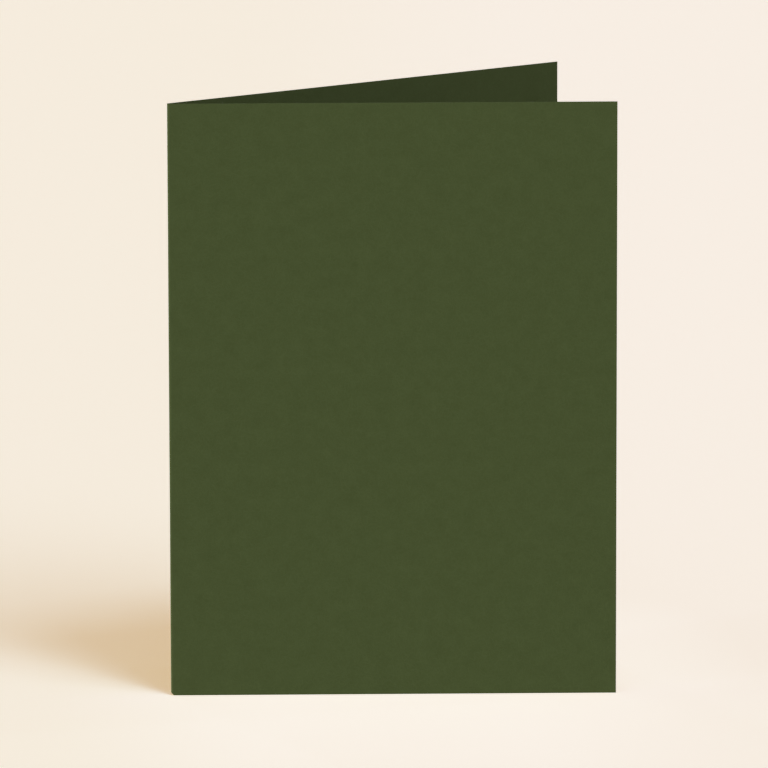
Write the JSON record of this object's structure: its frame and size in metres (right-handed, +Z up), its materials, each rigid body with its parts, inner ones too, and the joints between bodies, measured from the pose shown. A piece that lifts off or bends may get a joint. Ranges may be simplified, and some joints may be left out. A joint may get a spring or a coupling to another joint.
{
  "type": "greeting card",
  "caption": "Blank portrait greeting card in olive green card stock, folded down its left side and standing partly open on its lower edges.",
  "frame": {"origin": "middle of the card's footprint, on the surface that it stands on", "axes": "+Z up along the fold; the front panel faces -Y; the fold is at the -X side and both free edges are towards +X"},
  "size_m": [0.13, 0.062, 0.176],
  "materials": {
    "card_stock": "matte"
  },
  "bodies": {
    "root": {"folded_card": "card_stock"}
  },
  "joints": []
}
